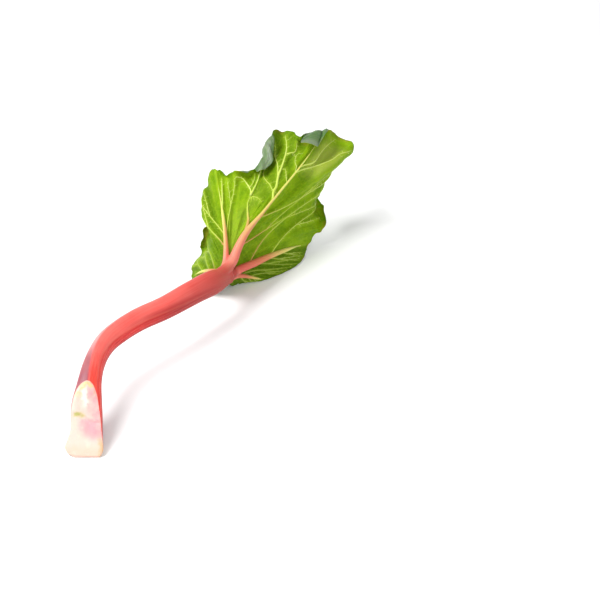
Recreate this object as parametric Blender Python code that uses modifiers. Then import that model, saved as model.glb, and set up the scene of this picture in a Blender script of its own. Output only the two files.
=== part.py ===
"""A pulled rhubarb stalk with its leaf, lying on a flat surface.

Two sub-parts: the stalk, which is one fleshy body from the flared heel to the tips of the five
main ribs, and the thin waved leaf blade, which the ribs carry along its underside.

The form is worked out in millimetres in a working frame: the heel lies at its origin, x runs to the
right, y away and z up. Each leaf place is given by its flat angle, in degrees round the fork from the
midrib, and its reach, from 0 at the fork to 1 at the margin.
"""

import math

import bmesh
import bpy
import numpy as np
from mathutils import Vector

MM = 0.001
LAY_TURN = math.radians(-62)

# Middle line of the leaf stalk, from under the heel to the fork.
STALK_PATH = (
    (0, -14, -4),
    (0, 20, 17),
    (0, 39, 30),
    (1, 57, 39),
    (4, 80, 44),
    (12, 106, 46.5),
    (25, 124, 48),
    (37, 138, 48),
    (61, 161, 46.5),
    (85, 190, 44),
    (100, 208, 42),
    (112, 223, 39),
    (119, 233, 37),
)
# Distance along the stalk, half width on the left and right, and half depth.
STALK_SIZES = (
    (0, 3, 5, 8),
    (8, 5, 9, 9),
    (11, 10, 13, 10),
    (15, 16.5, 15.8, 10.8),
    (19, 18.8, 16.3, 11.3),
    (25, 17.2, 15.8, 11.8),
    (34, 14.4, 15, 12.5),
    (48, 14.2, 14.2, 13),
    (62, 12.2, 13, 12.5),
    (80, 10.6, 10.8, 11.8),
    (106, 8.8, 8.9, 11),
    (146, 8.3, 8.6, 10.8),
    (206, 8.4, 8.8, 11),
    (251, 8.6, 9.2, 11.8),
    (280, 7, 8.6, 11.6),
    (296, 4, 6, 8.5),
)
ROUND_SIDE_AT_HEEL = (1, 0, 0.05)
ROUND_SIDE_AT_FORK = (0.76, -0.47, 0.42)
# Powers below 1 square the section off: on its flat side, and along both of its edges.
FLAT_SIDE_POWER = 0.72
EDGE_POWER = 0.92
RIDGES = 16
RIDGE_HEIGHT = 0.35
GROOVE_DEPTH = 1.3
HEEL_LENGTH = 36.0
HEEL_RINGS = 16
STALK_RINGS = 44
STALK_SIDES = 32
# The heel is torn off along a slanting face, is blunt in front and is worn flat where it rests.
HEEL_CUTS = (
    ((0, -3, 3), (0, -0.683, 0.73)),
    ((0, -3.6, 0), (0, -0.98, -0.2)),
    ((0, 0, 0), (0, 0, -1)),
)

FORK = np.array(STALK_PATH[-1], float)
# The blade starts on the inner side of the ribs, this far from the fork's middle.
BLADE_START = FORK + np.array((-3.0, 5.0, -1.6))
# Flat angle, then the halfway point and the end of the line that runs from the fork at that angle.
LEAF_LINES = (
    (-150, (-18, 10, -21), (-30, 19, -34)),
    (-115, (-19, 22, -11), (-38, 46, -35)),
    (-85, (-17, 24, 11), (-33, 77, -3)),
    (-65, (-15, 33, 23), (-32, 89, 29)),
    (-56, (-10, 40, 27), (-28, 104, 43)),
    (-48, (-4, 44, 29), (-20, 117, 56)),
    (-40, (0, 45, 31), (-5, 106, 55)),
    (-30, (6, 46, 33), (12, 105, 57)),
    (-20, (15, 52, 37), (30, 118, 61)),
    (-14, (22, 61, 42), (46, 160, 73)),
    (-7, (31, 66, 43), (63, 163, 73)),
    (-1, (38, 67, 43), (82, 143, 68)),
    (3, (45, 71, 42), (98, 166, 71)),
    (8, (53, 75, 38), (120, 174, 65)),
    (12, (56, 75, 33), (131, 163, 52)),
    (17, (57, 74, 26), (129, 155, 38)),
    (25, (54, 70, 16), (121, 144, 16)),
    (50, (41, 46, -6), (88, 99, -25)),
    (75, (30, 38, -19), (70, 67, -35)),
    (100, (20, 28, -21), (39, 41, -35)),
    (125, (11, 21, -22), (18, 35, -35)),
    (150, (2, 14, -21), (5, 28, -35)),
)
# Directions in which the lines leave the fork, by flat angle.
FORK_DIRECTIONS = (
    (-150, (-0.62, 0.35, -0.70)),
    (-115, (-0.66, 0.58, -0.10)),
    (-85, (-0.42, 0.66, 0.50)),
    (-65, (-0.12, 0.70, 0.68)),
    (-48, (0.12, 0.70, 0.70)),
    (-24, (0.19, 0.70, 0.69)),
    (0, (0.27, 0.72, 0.64)),
    (25, (0.50, 0.78, 0.36)),
    (50, (0.65, 0.76, -0.06)),
    (75, (0.56, 0.78, -0.28)),
    (100, (0.42, 0.76, -0.46)),
    (125, (0.26, 0.68, -0.67)),
    (150, (0.06, 0.58, -0.80)),
)
# Flat angle of each main rib, its radius near the fork and at its end, the reach where it ends, and
# how far its root lies towards the stalk's upper edge.
RIBS = (
    (-115, 2.6, 0.7, 0.86, 4.5),
    (-48, 3.2, 0.7, 0.92, 4.5),
    (0, 4.8, 0.8, 0.93, 3.5),
    (50, 4.0, 0.7, 0.9, -4.0),
    (100, 2.8, 0.7, 0.84, -4.5),
)
RIB_STEPS = 18
RIB_SIDES = 12
RIB_TAPER = 0.8
RIB_ROOT_SHARE = 0.9
# The ribs swell by this share where they leave the fork, over this distance.
ROOT_SWELL = 0.45
ROOT_SWELL_LENGTH = 16.0
RIB_START = 19.0
RIB_ROOTS_AT = (262.0, 282.0)
RIB_CLEARANCE = 0.5

BLADE_THICKNESS = 0.75
# The blade begins this far from the fork, by flat angle: two ribs share a trunk at first.
BLADE_INNER = (
    (-150, 13),
    (-115, 12),
    (-65, 14),
    (-44, 25),
    (-24, 29),
    (-5, 32),
    (5, 32),
    (14, 20),
    (25, 13),
    (60, 12),
    (150, 13),
)
BLADE_SPACING = 7.0
BLADE_ROWS = 18
BLADE_ROW_POWER = 0.9
# The blade bends aside to stay above this height, and starts to bend this far above it.
BLADE_LOWEST = 0.6
BLADE_SAG_FROM = 2.0
# Depth of the valleys between the ribs, against how much further apart than this those ribs are.
VALLEY_DEPTH = 0.11
VALLEY_FROM = 12.0
# Wavelength across the lines at the margin, height there, and phase.
WAVES = ((57, 4.4, 3.9), (33, 3.2, 2.1))
WAVE_GROWTH = 3.5
# The relief fades to this share below this height above the surface that the leaf rests on.
LEAST_RELIEF = 0.1
REST_HEIGHT = 16.0
# Flat angle, half width in degrees, and curvature per millimetre of a place where the margin curls.
CURLS = ((-33, 5, 0.045), (-16, 5, 0.025), (-70, 9, -0.04), (30, 9, -0.03))
CURL_FROM = 0.8
# Small steps in flat angle and in reach, for directions on the leaf.
ANGLE_STEP = 2.0
REACH_STEP = 0.01
RIB_ANGLES = tuple(rib[0] for rib in RIBS)


def keyed(at, keys, values):
    """A smooth curve through the values at the keys."""
    keys = np.asarray(keys, float)
    values = np.asarray(values, float).reshape(len(keys), -1)
    slopes = np.gradient(values, keys, axis=0)
    at = np.clip(np.asarray(at, float), keys[0], keys[-1])
    i = np.clip(np.searchsorted(keys, at, side="right") - 1, 0, len(keys) - 2)
    width = (keys[i + 1] - keys[i])[..., None]
    t = (at - keys[i])[..., None] / width
    start = (2 * t**3 - 3 * t**2 + 1) * values[i] + (t**3 - 2 * t**2 + t) * width * slopes[i]
    end = (3 * t**2 - 2 * t**3) * values[i + 1] + (t**3 - t**2) * width * slopes[i + 1]
    return start + end


def unit(vectors):
    return vectors / np.linalg.norm(vectors, axis=-1, keepdims=True)


def lengths_along(points):
    steps = np.linalg.norm(np.diff(points, axis=0), axis=1)
    return np.concatenate([[0], np.cumsum(steps)])


def column(table, i):
    return [row[i] for row in table]


def stalk_frame(distance):
    """The middle of the stalk at a distance from its start, and its round-side and edge directions."""
    knots = lengths_along(np.array(STALK_PATH, float))
    middle = keyed(distance, knots, STALK_PATH)
    ahead = unit(keyed(distance + 1, knots, STALK_PATH) - keyed(distance - 1, knots, STALK_PATH))
    part = np.clip(distance / knots[-1], 0, 1)[..., None]
    outer = (1 - part) * np.array(ROUND_SIDE_AT_HEEL) + part * np.array(ROUND_SIDE_AT_FORK)
    outer = unit(outer - (outer * ahead).sum(-1, keepdims=True) * ahead)
    return middle, outer, np.cross(outer, ahead)


def stalk_skin(distance, turn):
    """The stalk's surface: a D-shaped section, ridged on its round side and grooved on its flat one."""
    middle, outer, edge = stalk_frame(distance)
    sizes = keyed(distance, column(STALK_SIZES, 0), [row[1:] for row in STALK_SIZES])
    left, right, depth = np.moveaxis(sizes, -1, 0)
    across = np.cos(turn)
    along_edge = np.sin(turn)
    round_side = across > 0
    power = np.where(round_side, 1.0, FLAT_SIDE_POWER)
    u = np.sign(across) * np.abs(across) ** power * np.where(round_side, right, left)
    v = np.sign(along_edge) * np.abs(along_edge) ** EDGE_POWER * depth
    ridge = RIDGE_HEIGHT * np.cos(RIDGES * turn) * np.clip(across * 2, 0, 1)
    groove = GROOVE_DEPTH * np.clip(-across, 0, 1) ** 3
    u = u + groove + ridge * across
    v = v + ridge * along_edge
    return middle + u[..., None] * outer + v[..., None] * edge


def leaf_base(angle, reach):
    """The leaf's smooth underlying surface."""
    half = keyed(angle, column(LEAF_LINES, 0), column(LEAF_LINES, 1))
    end = keyed(angle, column(LEAF_LINES, 0), column(LEAF_LINES, 2))
    start = keyed(angle, column(FORK_DIRECTIONS, 0), column(FORK_DIRECTIONS, 1))
    start = unit(start) * np.linalg.norm(4 * half - end, axis=-1, keepdims=True)
    cubic = 2 * start + 2 * end - 8 * half
    square = end - start - cubic
    reach = np.asarray(reach, float)[..., None]
    return BLADE_START + reach * start + reach**2 * square + reach**3 * cubic


def outward_at(angle, reach):
    """The direction away from the fork, along the smooth surface."""
    return unit(leaf_base(angle, reach + REACH_STEP) - leaf_base(angle, reach - REACH_STEP))


def underside(angle, reach):
    """The direction that the leaf's underside faces."""
    round_fork = leaf_base(angle + ANGLE_STEP, reach) - leaf_base(angle - ANGLE_STEP, reach)
    return unit(np.cross(round_fork, outward_at(angle, reach)))


def margin_length(angle):
    """Distance along the smooth margin, from its first end."""
    angles = np.linspace(LEAF_LINES[0][0], LEAF_LINES[-1][0], 601)
    return np.interp(angle, angles, lengths_along(leaf_base(angles, np.ones(601))))


def distance_across(angle):
    """Distance round the fork near the margin, measured across the lines, from the first line."""
    angles = np.linspace(LEAF_LINES[0][0], LEAF_LINES[-1][0], 601)
    ends = leaf_base(angles, np.ones(601))
    steps = np.diff(ends, axis=0)
    lines = unit((ends[1:] + ends[:-1]) / 2 - BLADE_START)
    across = np.linalg.norm(steps - (steps * lines).sum(1, keepdims=True) * lines, axis=1)
    return np.interp(angle, angles, np.concatenate([[0], np.cumsum(across)]))


def leaf_relief(angle, reach):
    """How far the blade stands off its smooth surface: valleys between the ribs, waves at the margin."""
    bounds = np.array((LEAF_LINES[0][0],) + RIB_ANGLES + (LEAF_LINES[-1][0],), float)
    i = np.clip(np.searchsorted(bounds, angle, side="right") - 1, 0, len(bounds) - 2)
    between = (angle - bounds[i]) / (bounds[i + 1] - bounds[i])
    apart = np.linalg.norm(leaf_base(bounds[i + 1], reach) - leaf_base(bounds[i], reach), axis=-1)
    valley = -VALLEY_DEPTH * np.maximum(apart - VALLEY_FROM, 0) * np.sin(math.pi * between)
    across = distance_across(angle)
    wave = sum(height * np.sin(2 * math.pi * across / length + phase) for length, height, phase in WAVES)
    return valley + wave * reach**WAVE_GROWTH


def leaf_middle(angle, reach):
    """The middle surface of the blade."""
    inner_reach = np.minimum(reach, CURL_FROM)
    facing = underside(angle, inner_reach)
    outward = outward_at(angle, inner_reach)
    point = leaf_base(angle, reach)
    rest = np.linalg.norm(point - leaf_base(angle, inner_reach), axis=-1)
    curvature = sum(k * np.exp(-(((angle - middle) / spread) ** 2)) for middle, spread, k in CURLS)
    curve = curvature * rest
    straight = rest * np.sinc(curve / math.pi)
    rise = rest * np.sin(curve / 2) * np.sinc(curve / 2 / math.pi)
    aloft = np.clip(point[..., 2] / REST_HEIGHT, LEAST_RELIEF, 1)
    rise = rise + leaf_relief(angle, reach) * aloft
    point = point + (straight - rest)[..., None] * outward + rise[..., None] * facing
    over = point[..., 2] - BLADE_LOWEST
    point[..., 2] = BLADE_LOWEST + (over + np.sqrt(over**2 + BLADE_SAG_FROM**2)) / 2
    return point


def rib_line(angle, radius, tip_radius, last_reach, root_rise):
    """The points and radii of a main rib, from inside the stalk to its end under the blade."""
    length = np.linalg.norm(leaf_base(np.array(angle), np.array(1.0)) - BLADE_START)
    reach = np.linspace(RIB_START / length, last_reach, RIB_STEPS)
    angles = np.full(RIB_STEPS, float(angle))
    radii = radius + (tip_radius - radius) * reach**RIB_TAPER
    radii = radii * (1 + ROOT_SWELL * np.exp(-reach * length / ROOT_SWELL_LENGTH))
    off = radii + BLADE_THICKNESS / 2 + RIB_CLEARANCE
    points = leaf_middle(angles, reach) + off[:, None] * underside(angles, reach)
    middle, _, edge = stalk_frame(np.array(RIB_ROOTS_AT))
    knots = np.vstack([middle + root_rise * edge, points])
    knot_radii = np.concatenate([[radius * RIB_ROOT_SHARE, radius * (1 + ROOT_SWELL)], radii])
    along = lengths_along(knots)
    even = np.linspace(0, along[-1], RIB_STEPS)
    return keyed(even, along, knots), np.interp(even, along, knot_radii)


def object_of(name, mesh, collection):
    made = bpy.data.objects.new(name, mesh)
    collection.objects.link(made)
    return made


def loft_stalk(collection):
    """The leaf stalk from heel to fork, cut along the heel's face and along its foot."""
    total = lengths_along(np.array(STALK_PATH, float))[-1]
    heel = np.linspace(0, HEEL_LENGTH, HEEL_RINGS, endpoint=False)
    distance = np.concatenate([heel, np.linspace(HEEL_LENGTH, total, STALK_RINGS)])
    turns = np.arange(STALK_SIDES) * 2 * math.pi / STALK_SIDES
    shape = bmesh.new()
    rings = []
    for at in distance:
        points = stalk_skin(np.full(STALK_SIDES, at), turns) * MM
        rings.append([shape.verts.new(point) for point in points])
    for ring, following in zip(rings, rings[1:]):
        for i in range(STALK_SIDES):
            j = (i + 1) % STALK_SIDES
            shape.faces.new((ring[i], ring[j], following[j], following[i]))
    shape.faces.new(rings[0])
    shape.faces.new(rings[-1])
    for point, normal in HEEL_CUTS:
        everything = shape.verts[:] + shape.edges[:] + shape.faces[:]
        place = Vector(point) * MM
        cut = bmesh.ops.bisect_plane(
            shape, geom=everything, plane_co=place, plane_no=normal, clear_outer=True
        )
        rim = [item for item in cut["geom_cut"] if isinstance(item, bmesh.types.BMEdge)]
        bmesh.ops.holes_fill(shape, edges=rim)
    bmesh.ops.triangulate(shape, faces=shape.faces[:])
    bmesh.ops.recalc_face_normals(shape, faces=shape.faces[:])
    mesh = bpy.data.meshes.new("stalk")
    shape.to_mesh(mesh)
    shape.free()
    return object_of("stalk", mesh, collection)


def rib_tube(spec, collection):
    """One main rib as a closed tapering tube."""
    points, radii = rib_line(*spec)
    curve = bpy.data.curves.new("rib", "CURVE")
    curve.dimensions = "3D"
    curve.bevel_depth = MM
    curve.bevel_resolution = RIB_SIDES // 4 - 1
    curve.use_fill_caps = True
    spline = curve.splines.new("POLY")
    spline.points.add(len(points) - 1)
    for target, place, radius in zip(spline.points, points * MM, radii):
        target.co = (*place, 1)
        target.radius = radius
    guide = object_of("rib_curve", curve, collection)
    graph = bpy.context.evaluated_depsgraph_get()
    mesh = bpy.data.meshes.new_from_object(guide.evaluated_get(graph))
    shape = bmesh.new()
    shape.from_mesh(mesh)
    bmesh.ops.remove_doubles(shape, verts=shape.verts[:], dist=1e-6)
    bmesh.ops.triangulate(shape, faces=shape.faces[:])
    bmesh.ops.recalc_face_normals(shape, faces=shape.faces[:])
    shape.to_mesh(mesh)
    shape.free()
    tube = object_of("rib", mesh, collection)
    tube.matrix_world = guide.matrix_world
    bpy.data.objects.remove(guide)
    return tube


def join_by_union(body, others, solver):
    """Fuses the objects of a collection into the body and removes them."""
    modifier = body.modifiers.new("fuse", "BOOLEAN")
    modifier.operation = "UNION"
    modifier.operand_type = "COLLECTION"
    modifier.collection = others
    modifier.solver = solver
    graph = bpy.context.evaluated_depsgraph_get()
    fused = bpy.data.meshes.new_from_object(body.evaluated_get(graph))
    body.modifiers.clear()
    body.data = fused
    for other in list(others.objects):
        bpy.data.objects.remove(other)


def blade_angles():
    """Flat angles of the blade's columns: even along the margin, with a column on each rib."""
    bounds = (LEAF_LINES[0][0],) + RIB_ANGLES + (LEAF_LINES[-1][0],)
    angles = [np.array([bounds[0]], float)]
    for start, end in zip(bounds, bounds[1:]):
        fine = np.linspace(start, end, 101)
        along = margin_length(fine)
        count = max(2, round((along[-1] - along[0]) / BLADE_SPACING))
        angles.append(np.interp(np.linspace(along[0], along[-1], count + 1)[1:], along, fine))
    return np.concatenate(angles)


def build_blade(collection):
    """The blade as a waved sheet with the same triangles on both faces."""
    angles = blade_angles()
    ends = np.linalg.norm(leaf_base(angles, np.ones(len(angles))) - BLADE_START, axis=1)
    inner = keyed(angles, column(BLADE_INNER, 0), column(BLADE_INNER, 1))[:, 0] / ends
    shape = bmesh.new()
    rows = []
    for step in np.linspace(0, 1, BLADE_ROWS + 1):
        reach = inner + (1 - inner) * step**BLADE_ROW_POWER
        rows.append([shape.verts.new(point) for point in leaf_middle(angles, reach) * MM])
    for row, following in zip(rows, rows[1:]):
        for i in range(len(angles) - 1):
            shape.faces.new((row[i], following[i], following[i + 1], row[i + 1]))
    bmesh.ops.triangulate(shape, faces=shape.faces[:])
    mesh = bpy.data.meshes.new("leaf_blade")
    shape.to_mesh(mesh)
    shape.free()
    blade = object_of("leaf_blade", mesh, collection)
    sheet = blade.modifiers.new("thickness", "SOLIDIFY")
    sheet.thickness = BLADE_THICKNESS * MM
    sheet.offset = 0
    return blade


def skin_material(name, colour, roughness):
    material = bpy.data.materials.new(name)
    material.use_nodes = True
    shader = material.node_tree.nodes["Principled BSDF"]
    shader.inputs["Base Color"].default_value = (*colour, 1)
    shader.inputs["Roughness"].default_value = roughness
    shader.inputs["Metallic"].default_value = 0
    return material


def new_collection(name):
    made = bpy.data.collections.new(name)
    bpy.context.scene.collection.children.link(made)
    return made


def lay_down(pieces):
    """Turns the leaf lengthwise along x and puts the middle of the whole box's foot at the origin."""
    holder = bpy.data.objects.new("rhubarb", None)
    pieces[0].users_collection[0].objects.link(holder)
    for piece in pieces:
        piece.parent = holder
    holder.rotation_euler.z = LAY_TURN
    bpy.context.view_layer.update()
    graph = bpy.context.evaluated_depsgraph_get()
    corners = []
    for piece in pieces:
        evaluated = piece.evaluated_get(graph)
        mesh = evaluated.to_mesh()
        corners += [evaluated.matrix_world @ vertex.co for vertex in mesh.vertices]
        evaluated.to_mesh_clear()
    corners = np.array(corners)
    low, high = corners.min(axis=0), corners.max(axis=0)
    holder.location = (-(low[0] + high[0]) / 2, -(low[1] + high[1]) / 2, -low[2])
    bpy.context.view_layer.update()


def main():
    for old in list(bpy.data.objects):
        bpy.data.objects.remove(old)
    rhubarb = new_collection("rhubarb_stalk")
    ribs = new_collection("ribs")
    stalk = loft_stalk(rhubarb)
    for spec in RIBS:
        rib_tube(spec, ribs)
    join_by_union(stalk, ribs, "EXACT")
    bpy.data.collections.remove(ribs)
    blade = build_blade(rhubarb)
    stalk.data.materials.clear()
    stalk.data.materials.append(skin_material("stalk_flesh", (0.71, 0.13, 0.11), 0.35))
    blade.data.materials.append(skin_material("leaf_green", (0.24, 0.40, 0.03), 0.45))
    for piece in (stalk, blade):
        piece.data.shade_smooth()
    lay_down((stalk, blade))


main()
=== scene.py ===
"""The looks of the rhubarb stalk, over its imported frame.

Three pieces: the flesh of the stalk with its five main ribs, the thin blade, and the net of side
veins that stands out along the underside of the blade.

The form is worked out in millimetres in a working frame: the heel lies at its origin, x runs to the
right, y away and z up. Each leaf place is given by its flat angle, in degrees round the fork from the
midrib, and its reach, from 0 at the fork to 1 at the margin.
"""

import math

import bmesh
import bpy
import numpy as np
from mathutils import Matrix, Vector
from mathutils.kdtree import KDTree


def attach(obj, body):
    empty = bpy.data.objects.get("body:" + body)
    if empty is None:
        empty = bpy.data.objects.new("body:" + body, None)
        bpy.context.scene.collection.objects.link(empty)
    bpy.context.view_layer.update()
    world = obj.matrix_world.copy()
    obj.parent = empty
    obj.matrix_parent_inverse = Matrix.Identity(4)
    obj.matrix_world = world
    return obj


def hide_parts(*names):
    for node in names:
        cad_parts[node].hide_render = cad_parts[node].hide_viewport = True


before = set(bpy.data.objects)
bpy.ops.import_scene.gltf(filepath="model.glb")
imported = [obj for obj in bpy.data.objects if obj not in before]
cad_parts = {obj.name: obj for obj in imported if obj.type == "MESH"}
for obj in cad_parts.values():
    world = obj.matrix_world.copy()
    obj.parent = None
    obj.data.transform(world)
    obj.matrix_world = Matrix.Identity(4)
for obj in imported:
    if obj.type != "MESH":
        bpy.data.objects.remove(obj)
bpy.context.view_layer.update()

MM = 0.001
# Where the working frame lies in the row frame.
LAY_TURN = math.radians(-62)
LAY_PLACE = Vector((-0.23429, -0.02644, 0.0))
LAY = Matrix.Translation(LAY_PLACE) @ Matrix.Rotation(LAY_TURN, 4, "Z")
LAY_TURN_ONLY = np.array(Matrix.Rotation(LAY_TURN, 3, "Z"))

# The form, as in the part's source.
STALK_PATH = (
    (0, -14, -4), (0, 20, 17), (0, 39, 30), (1, 57, 39), (4, 80, 44), (12, 106, 46.5),
    (25, 124, 48), (37, 138, 48), (61, 161, 46.5), (85, 190, 44), (100, 208, 42), (112, 223, 39),
    (119, 233, 37),
)
# Distance along the stalk, half width on the left and right, and half depth.
STALK_SIZES = (
    (0, (3, 5, 8)), (8, (5, 9, 9)), (11, (10, 13, 10)), (15, (16.5, 15.8, 10.8)),
    (19, (18.8, 16.3, 11.3)), (25, (17.2, 15.8, 11.8)), (34, (14.4, 15, 12.5)),
    (48, (14.2, 14.2, 13)), (62, (12.2, 13, 12.5)), (80, (10.6, 10.8, 11.8)), (106, (8.8, 8.9, 11)),
    (146, (8.3, 8.6, 10.8)), (206, (8.4, 8.8, 11)), (251, (8.6, 9.2, 11.8)), (280, (7, 8.6, 11.6)),
    (296, (4, 6, 8.5)),
)
ROUND_SIDE_AT_HEEL = (1, 0, 0.05)
ROUND_SIDE_AT_FORK = (0.76, -0.47, 0.42)
FLAT_SIDE_POWER = 0.72
EDGE_POWER = 0.92
GROOVE_DEPTH = 1.3
HEEL_CUTS = (
    ((0, -3, 3), (0, -0.683, 0.73)),
    ((0, -3.6, 0), (0, -0.98, -0.2)),
    ((0, 0, 0), (0, 0, -1)),
)
FORK = np.array(STALK_PATH[-1], float)
BLADE_START = FORK + np.array((-3.0, 5.0, -1.6))
# Flat angle, then the halfway point and the end of the line that runs from the fork at that angle.
LEAF_LINES = (
    (-150, (-18, 10, -21), (-30, 19, -34)), (-115, (-19, 22, -11), (-38, 46, -35)),
    (-85, (-17, 24, 11), (-33, 77, -3)), (-65, (-15, 33, 23), (-32, 89, 29)),
    (-56, (-10, 40, 27), (-28, 104, 43)), (-48, (-4, 44, 29), (-20, 117, 56)),
    (-40, (0, 45, 31), (-5, 106, 55)), (-30, (6, 46, 33), (12, 105, 57)),
    (-20, (15, 52, 37), (30, 118, 61)), (-14, (22, 61, 42), (46, 160, 73)),
    (-7, (31, 66, 43), (63, 163, 73)), (-1, (38, 67, 43), (82, 143, 68)),
    (3, (45, 71, 42), (98, 166, 71)), (8, (53, 75, 38), (120, 174, 65)),
    (12, (56, 75, 33), (131, 163, 52)), (17, (57, 74, 26), (129, 155, 38)),
    (25, (54, 70, 16), (121, 144, 16)), (50, (41, 46, -6), (88, 99, -25)),
    (75, (30, 38, -19), (70, 67, -35)), (100, (20, 28, -21), (39, 41, -35)),
    (125, (11, 21, -22), (18, 35, -35)), (150, (2, 14, -21), (5, 28, -35)),
)
# Directions in which the lines leave the fork, by flat angle.
FORK_DIRECTIONS = (
    (-150, (-0.62, 0.35, -0.70)), (-115, (-0.66, 0.58, -0.10)), (-85, (-0.42, 0.66, 0.50)),
    (-65, (-0.12, 0.70, 0.68)), (-48, (0.12, 0.70, 0.70)), (-24, (0.19, 0.70, 0.69)),
    (0, (0.27, 0.72, 0.64)), (25, (0.50, 0.78, 0.36)), (50, (0.65, 0.76, -0.06)),
    (75, (0.56, 0.78, -0.28)), (100, (0.42, 0.76, -0.46)), (125, (0.26, 0.68, -0.67)),
    (150, (0.06, 0.58, -0.80)),
)
# Flat angle of each main rib, its radius near the fork and at its end, the reach where it ends, and
# how far its root lies towards the stalk's upper edge.
RIBS = (
    (-115, 2.6, 0.7, 0.86, 4.5), (-48, 3.2, 0.7, 0.92, 4.5), (0, 4.8, 0.8, 0.93, 3.5),
    (50, 4.0, 0.7, 0.9, -4.0), (100, 2.8, 0.7, 0.84, -4.5),
)
RIB_TAPER = 0.8
RIB_ROOT_SHARE = 0.9
ROOT_SWELL = 0.45
ROOT_SWELL_LENGTH = 16.0
RIB_START = 19.0
RIB_ROOTS_AT = (262.0, 282.0)
RIB_STAND_OFF = 0.875
BLADE_LOWEST = 0.6
BLADE_SAG_FROM = 2.0
VALLEY_DEPTH = 0.11
VALLEY_FROM = 12.0
# Wavelength across the lines at the margin, height there, and phase.
WAVES = ((57, 4.4, 3.9), (33, 3.2, 2.1))
WAVE_GROWTH = 3.5
LEAST_RELIEF = 0.1
REST_HEIGHT = 16.0
# Flat angle, half width in degrees, and curvature per millimetre of a place where the margin curls.
CURLS = ((-33, 5, 0.045), (-16, 5, 0.025), (-70, 9, -0.04), (30, 9, -0.03))
CURL_FROM = 0.8
ANGLE_STEP = 2.0
REACH_STEP = 0.01
RIB_ANGLES = tuple(rib[0] for rib in RIBS)
FIRST_ANGLE, LAST_ANGLE = LEAF_LINES[0][0], LEAF_LINES[-1][0]
LEAF_BOUNDS = (FIRST_ANGLE, *RIB_ANGLES, LAST_ANGLE)
MARGIN_SAMPLES = 601

# How a rib's line turns beyond its root: by how many degrees, and between which reaches.
RIB_BENDS = {0: (3.3, 0.2, 0.42), -48: (3, 0.0, 0.15), 50: (2.5, 0.1, 0.35)}
# By what share a rib gets slimmer where it has given off its branches, and between which reaches.
RIB_SLIMMING = {0: (0.5, 0.2, 0.46), -48: (0.55, 0.55, 0.72), 50: (-0.3, 0.08, 0.35)}
# By what further share every rib gets slimmer towards its end.
RIB_END_SLIMMING = 0.55

# The fine build of the flesh.
FLESH_VOXEL = 0.65
LOFT_RINGS = 260
LOFT_SIDES = 96
RIB_STEPS = 90
RIB_SIDES = 20
FLESH_SMOOTHING = 8
# Each round of smoothing goes this far towards the neighbours' middle, and then back from it.
SMOOTHING_SHARES = (0.6, -0.62)
STALK_SAMPLES = 900
# The stalk's samples from this one on are near enough to the fork for ribs.
FIRST_FORK_SAMPLE = 500
# A point belongs to a rib from this share of the stalk's radius, and wholly after a further share.
RIB_FROM, RIB_BLEND = 1.05, 0.8
# The ribs from this number on lie low, and stay red further out.
FIRST_LOW_RIB = 3
# How far from the heel's foot its face and its swelling reach.
HEEL_END = 70
# Where the ridged underside of the stalk begins: distance along it, and turn round it in degrees.
RIDGED_FROM = ((40, 45), (75, 34), (106, 25), (136, 9), (180, -6), (214, -13), (262, -30), (296, -34))
# Where the stalk's shaded inner side begins.
INNER_FROM = ((40, 70), (94, 78), (111, 86), (132, 93), (150, 98), (296, 100))
RIDGES = 22
RIDGE_HEIGHT = 0.16

# The fine build of the blade.
BLADE_COLUMNS = 400
BLADE_ROWS = 112
COLUMN_SAMPLES = 3001
BLADE_FROM = 7.0
BLADE_THICKNESS = 0.7
VEIN_RELIEF = 0.5
VEIN_RELIEF_WIDTH = 1.6
VEIN_TINT_WIDTH = 1.8
RIM_THINNING = 0.45
PUCKER_HEIGHT = 1.3
PUCKER_WIDTH = 4.0
# Width in degrees, height and phase of the soft folds that run out from the fork.
FOLDS = ((13.0, 0.9, 0.5), (7.1, 0.5, 2.0))
# Pleats near the tip: flat angle and half width of the pleated part, width of a pleat, and height.
TIP_PLEATS = (4.5, 7.0, 4.6, 1.5)
# Wavelength along the margin, height there, and phase, of the small ruffles.
RUFFLES = ((17.0, 0.8, 0.3), (9.2, 0.3, 1.7))
RUFFLE_GROWTH = 9
SCALLOP_LENGTH = 9.0
SCALLOP_DEPTH = 0.5
# Places where the margin rolls over onto the underside: flat angle, half width in degrees, how far
# the blade first runs on there, and how much of it is rolled.
ROLLS = (
    (-18.2, 3.2, 1.6, 23), (-27, 5, 1.5, 8.5), (-39.5, 4.5, 0.5, 7), (-0.8, 2.5, 12, 0),
    (0.2, 2.9, 2.5, 38), (36, 9, 1.5, 9), (-88, 10, 1.5, 9),
)
ROLL_RADIUS = 2.8
ROLL_MOST = 2.85
# How much of a roll's rise counts against the blade's length there, so that it doesn't stand out.
ROLL_LEAN = 0.8

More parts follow.
